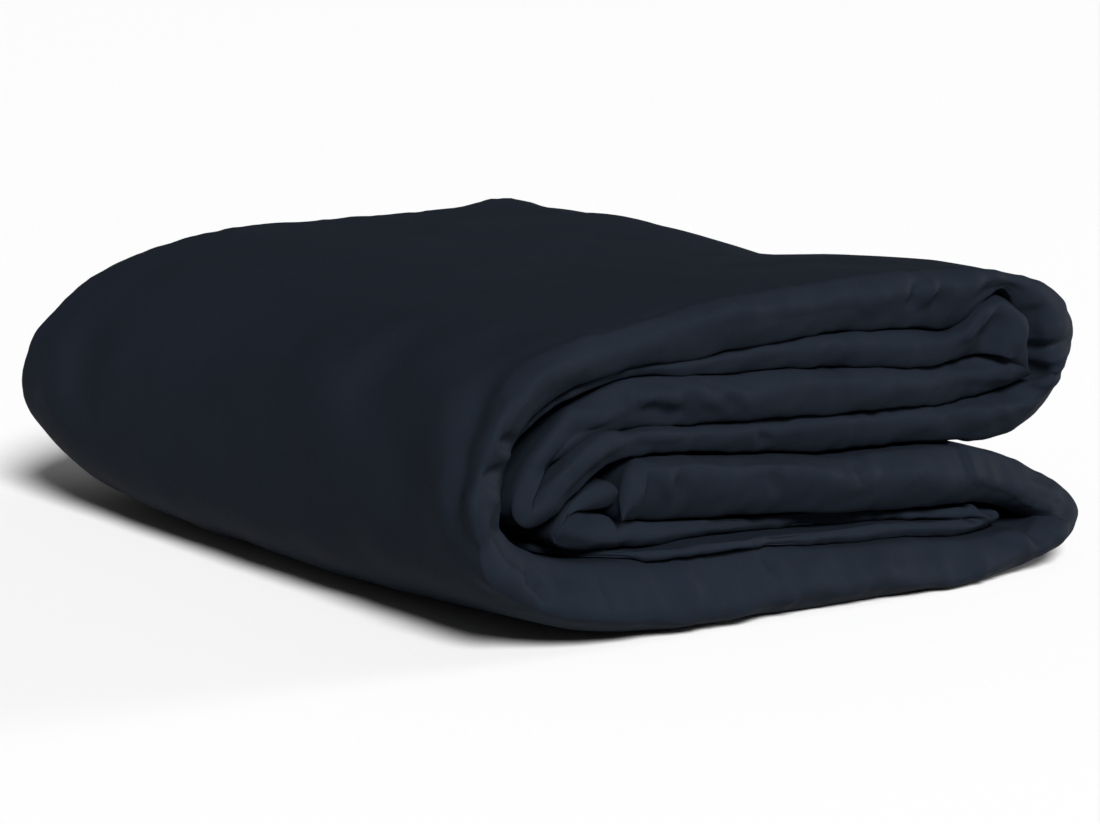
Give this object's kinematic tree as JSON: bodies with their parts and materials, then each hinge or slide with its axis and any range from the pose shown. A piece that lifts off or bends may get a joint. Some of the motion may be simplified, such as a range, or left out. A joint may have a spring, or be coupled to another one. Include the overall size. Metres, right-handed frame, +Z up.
{
  "type": "folded duvet cover",
  "caption": "Dark navy duvet cover folded for the shelf: a padded strip of cloth laid back and forth in layers, with a round spine on one side and an open mouth on the other.",
  "frame": {"origin": "middle of the bounding box on the surface that the bundle lies on", "axes": "+Z up through the pile, +Y along the fold edges, -X towards the round spine and +X towards the open mouth"},
  "size_m": [0.3408, 0.4104, 0.1377],
  "materials": {
    "cloth": "dark navy woven cotton with a soft sheen"
  },
  "bodies": {
    "root": {"duvet_cover": "cloth"}
  },
  "joints": []
}
